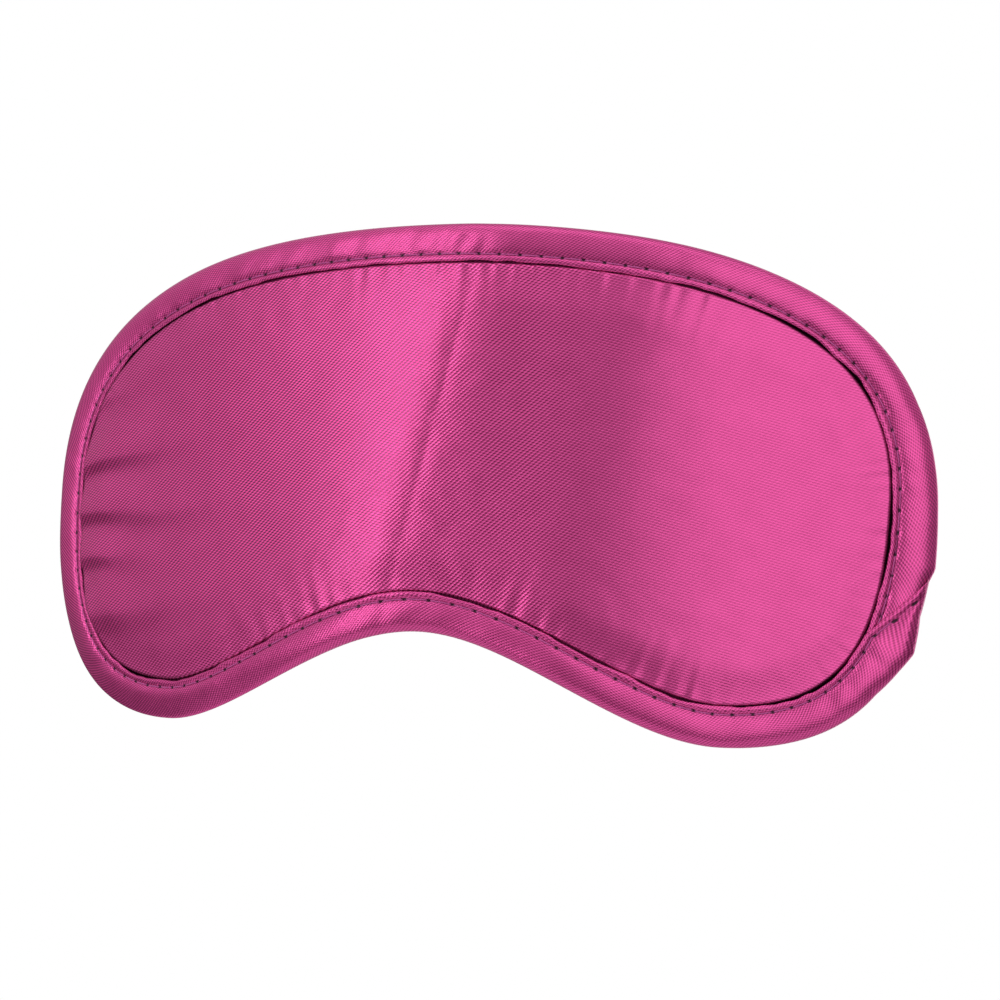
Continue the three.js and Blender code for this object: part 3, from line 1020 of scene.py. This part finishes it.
def stitch_line(s0, side, on_top):
    """One stitch: a thread that rises from one needle hole and dives into the next. on_top is 1
    if it holds the tape's start, where that laps over the end, and 0 if it holds the end."""
    t = np.linspace(0, 1, STITCH_POINTS)
    s = s0 + STITCH_PITCH * t
    rim, inward = rim_at(s)
    depth = STITCH_IN - on_top * lap_shift(s)
    flat = rim + inward * depth[:, None]
    rise = THREAD_HEIGHT + THREAD_RADIUS - STITCH_DIVE * np.abs(2 * t - 1) ** 4
    rise = (rise + on_top * lap_lift(s)) * roundness(depth)
    return bend(flat[:, 0], flat[:, 1], side * rise)


def stitch_rows(side):
    """The row through the tape, and the last few stitches of it that show beside the lap."""
    first = math.ceil((LAP_TOP + 0.35 * (LAP_SEAM - LAP_TOP)) / STITCH_PITCH)
    lines = [stitch_line(k * STITCH_PITCH, side, 1) for k in range(first, first + STITCH_COUNT - 3)]
    lines += [stitch_line(k * STITCH_PITCH, side, 0) for k in range(first - 4, first + 2)]
    return threads("stitches_front" if side > 0 else "stitches_back", lines, THREAD_RADIUS)


# ---- strap ----

def strap_plan():
    """The strap's middle line seen from above, for the +X side, and its named places."""
    sewn = bend(SEWN_FROM, 0, STRAP_HEIGHT)[:2] / MM
    fold = bend(SEWN_TO, 0, STRAP_HEIGHT)[:2] / MM
    centre = fold + FOLD_RADIUS * np.array([-math.sin(CURVE_ANGLE), math.cos(CURVE_ANGLE)])
    start = centre - FOLD_RADIUS * np.array([math.cos(SIDE_LEAN), math.sin(SIDE_LEAN)])
    corner_x = REAR_HALF + REAR_RADIUS * math.cos(SIDE_LEAN)
    corner_y = start[1] + (start[0] - corner_x) / math.tan(SIDE_LEAN)
    rear_y = corner_y + REAR_RADIUS * (1 - math.sin(SIDE_LEAN))
    return sewn, fold, centre, start, np.array([corner_x, corner_y]), rear_y


def arc(centre, radius, start, end, step):
    """Points about a step apart round part of a circle, between two angles."""
    count = max(8, int(abs(end - start) * radius / step))
    angle = np.linspace(start, end, count)
    return np.asarray(centre) + radius * np.stack([np.cos(angle), np.sin(angle)], 1)


def straight(a, b):
    """Points evenly spaced from a to b."""
    count = max(3, int(np.linalg.norm(np.asarray(b) - a) / STRAIGHT_STEP))
    return np.asarray(a) + (np.asarray(b) - a) * np.linspace(0, 1, count)[:, None]


def side_point(start, corner, y):
    """The point at a given y of the strap's straight side."""
    return start + (corner - start) * (y - start[1]) / (corner[1] - start[1])


def root_line():
    """From the turned-under end, round the turn, along the back, through the fold and away."""
    sewn, fold, centre, start, corner = strap_plan()[:5]
    out = np.array([math.sin(CURVE_ANGLE), -math.cos(CURVE_ANGLE)])
    under = bend(TURNED_UNDER_TO, 0, STRAP_HEIGHT)[:2] / MM + out * TURN_UNDER
    middle = sewn + out * TURN_UNDER / 2
    back = CURVE_ANGLE - math.pi / 2
    turn = arc(middle, TURN_UNDER / 2, back, CURVE_ANGLE + math.pi / 2, TURN_STEP)
    bend_arc = arc(centre, FOLD_RADIUS, back, SIDE_LEAN - math.pi, FOLD_STEP)
    return np.vstack([
        straight(under, turn[0])[:-1], turn[:-1], straight(sewn, fold)[:-1], bend_arc[:-1],
        straight(bend_arc[-1], side_point(start, corner, ROOT_END_Y)),
    ])


def loop_line():
    """The rest of the strap, from one root round the back of the head to the other."""
    start, corner, rear_y = strap_plan()[3:]
    half = np.vstack([
        straight(side_point(start, corner, ROOT_END_Y), corner)[:-1],
        arc((REAR_HALF, rear_y - REAR_RADIUS), REAR_RADIUS, SIDE_LEAN, math.pi / 2, REAR_STEP)[:-1],
        straight((REAR_HALF, rear_y), (0, rear_y)),
    ])
    return np.vstack([half, (half[::-1] * (-1, 1))[1:]])


def strap_section():
    """Across the tape: heights along Z and how far its ribbed faces stand from its middle."""
    z = np.linspace(-0.5, 0.5, RIB_POINTS * STRAP_RIBS + 1)
    ribs = 1 - np.abs(np.cos(z * math.pi * STRAP_RIBS)) ** RIB_SHARPNESS
    half = STRAP_THICK / 2 - RIB_HEIGHT + RIB_HEIGHT * ribs
    half = half * np.sqrt(np.clip(1 - (np.abs(2 * z) ** EDGE_SHARPNESS), EDGE_LEAST, 1))
    return z * STRAP_WIDTH, half


def strap_piece(name, line, side):
    """A flat ribbed tape on edge along a plan line, closed at both ends."""
    plan = line * (side, 1)
    way = unit(np.gradient(plan, axis=0))
    normal = np.stack([way[:, 1], -way[:, 0]], 1)
    z, half = strap_section()
    across = np.concatenate([half, -half[::-1]])
    up = np.concatenate([z, z[::-1]])
    run = run_of(plan)
    flat = plan[:, None] + normal[:, None] * across[None, :, None]
    height = np.broadcast_to(SIDE_V + up[None, :, None], (*flat.shape[:2], 1))
    points = np.concatenate([flat, height], -1)
    uv = np.stack(np.broadcast_arrays(run[:, None], up[None, :]), -1)
    rows, columns = len(plan), len(up)
    sides = grid_faces(rows, columns, wrap_columns=True).tolist()
    ends = cap_faces(len(z), 0, True) + cap_faces(len(z), (rows - 1) * columns, False)
    return mesh_object(name, points * MM, sides + ends, uv, flat_from=len(sides))


def bar_tack(side):
    """Close zigzag stitches across the strap's sewn end."""
    t = np.linspace(0, 1, TACK_POINTS)
    u = TACK_FROM - TACK_LENGTH * t
    over_strap = abs(STRAP_HEIGHT) + STRAP_THICK / 2 + TACK_PROUD
    rise = -(over_strap - TACK_DIVE * np.abs(2 * t - 1) ** 4)
    lines = []
    for k in range(TACK_STITCHES):
        v = SIDE_V - TACK_SPAN / 2 + TACK_SPAN * k / TACK_STITCHES + TACK_SLANT * t
        lines.append(bend(side * u, v, rise))
    return threads("bar_tack_right" if side > 0 else "bar_tack_left", lines, TACK_RADIUS)


# ---- stage ----

def direction(azimuth, elevation):
    """Unit vector towards a place round the mask; azimuth 0 is in front of it."""
    a, e = math.radians(azimuth), math.radians(elevation)
    return Vector((math.sin(a) * math.cos(e), -math.cos(a) * math.cos(e), math.sin(e)))


def softbox(name, azimuth, elevation, distance, size, power, seen):
    """A rectangular light that points at the mask."""
    light = bpy.data.lights.new(name, "AREA")
    light.shape = "RECTANGLE"
    light.size, light.size_y = size
    light.energy = power
    made = bpy.data.objects.new(name, light)
    made.location = direction(azimuth, elevation) * distance
    made.rotation_euler = (-made.location).to_track_quat("-Z", "Y").to_euler()
    made.visible_camera = seen
    bpy.context.scene.collection.objects.link(made)


def add_camera():
    data = bpy.data.cameras.new("camera")
    data.lens = CAMERA_LENS
    data.sensor_width = CAMERA_SENSOR
    data.clip_start, data.clip_end = CAMERA_CLIP
    made = bpy.data.objects.new("camera", data)
    a = math.radians(CAMERA_AZIMUTH)
    back = direction(CAMERA_AZIMUTH, CAMERA_ELEVATION)
    right = Vector((math.cos(a), math.sin(a), 0))
    level = Matrix((right, back.cross(right), back)).transposed()
    turned = level @ Matrix.Rotation(-math.radians(CAMERA_ROLL), 3, "Z")
    place = Vector(CAMERA_TARGET) + back * CAMERA_DISTANCE
    made.matrix_world = Matrix.Translation(place) @ turned.to_4x4()
    bpy.context.scene.collection.objects.link(made)
    bpy.context.scene.camera = made


def add_world():
    """White where the camera sees it; as light, a grey that is brighter above than below."""
    world = bpy.data.worlds.new("studio")
    world.use_nodes = True
    nodes, links = world.node_tree.nodes, world.node_tree.links
    grey = nodes["Background"]
    grey.inputs["Color"].default_value = (1, 1, 1, 1)
    place = nodes.new("ShaderNodeTexCoord")
    split = nodes.new("ShaderNodeSeparateXYZ")
    height = nodes.new("ShaderNodeMapRange")
    for socket, value in WORLD_LIGHT.items():
        height.inputs[socket].default_value = value
    links.new(place.outputs["Generated"], split.inputs[0])
    links.new(split.outputs["Z"], height.inputs["Value"])
    links.new(height.outputs["Result"], grey.inputs["Strength"])
    white = nodes.new("ShaderNodeBackground")
    white.inputs["Color"].default_value = (1, 1, 1, 1)
    white.inputs["Strength"].default_value = 1.0
    seen = nodes.new("ShaderNodeLightPath")
    mix = nodes.new("ShaderNodeMixShader")
    links.new(seen.outputs["Is Camera Ray"], mix.inputs["Fac"])
    links.new(grey.outputs["Background"], mix.inputs[1])
    links.new(white.outputs["Background"], mix.inputs[2])
    links.new(mix.outputs["Shader"], nodes["World Output"].inputs["Surface"])
    bpy.context.scene.world = world


def add_stage():
    signs = ((-1, -1), (1, -1), (1, 1), (-1, 1))
    corners = [(x * FLOOR_HALF, y * FLOOR_HALF, FLOOR_Z) for x, y in signs]
    floor = mesh_object("floor", np.array(corners), [(0, 1, 2, 3)], flat_from=0)
    floor.data.materials.append(stage_material())
    for name, settings in LIGHTS.items():
        softbox(name, *settings)


# ---- the object ----

def finish_piece(piece, material, body, nodes):
    """Gives a piece its material, slot, the nodes it stands for and, if it rides one, its body."""
    piece.data.materials.append(material)
    if body:
        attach(piece, body)
    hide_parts(*nodes)
    return piece


def build():
    satin = satin_material("fuchsia_satin")
    tape = satin_material("fuchsia_tape", sewn=True)
    pink_thread = thread_material("pink_thread", THREAD_DARK, THREAD_LIGHT)
    black_thread = thread_material("black_thread", BLACK, (0.03, 0.03, 0.033))
    elastic = elastic_material()
    foam = finish_piece(foam_core(), foam_material(), "mask", ["foam_pad"])
    front = finish_piece(satin_front(), satin, "mask", ["front_panel"])
    lining = finish_piece(lining_back(), lining_material(), "mask", ["back_lining"])
    finish_piece(binding(), tape, "mask", ["edge_binding", "binding_lap"])
    finish_piece(stitch_rows(1), pink_thread, "mask", ["stitch_front"])
    finish_piece(stitch_rows(-1), pink_thread, "mask", ["stitch_back"])
    start_y, corner_y = (place[1] for place in strap_plan()[3:5])
    for side, word in ((1, "right"), (-1, "left")):
        root = strap_piece(f"strap_root_{word}", root_line(), side)
        finish_piece(root, elastic, None, [f"strap_end_{word}"])
        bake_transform(root)
        finish_piece(bar_tack(side), black_thread, "mask", [f"strap_tack_{word}"])
    loop = strap_piece("strap_loop", loop_line(), 1)
    finish_piece(loop, elastic, None,
                 ["strap_side_left", "strap_side_right", "strap_rear"])
    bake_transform(loop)


add_camera()
add_world()
add_stage()
build()
bpy.context.scene.view_settings.view_transform = "Standard"
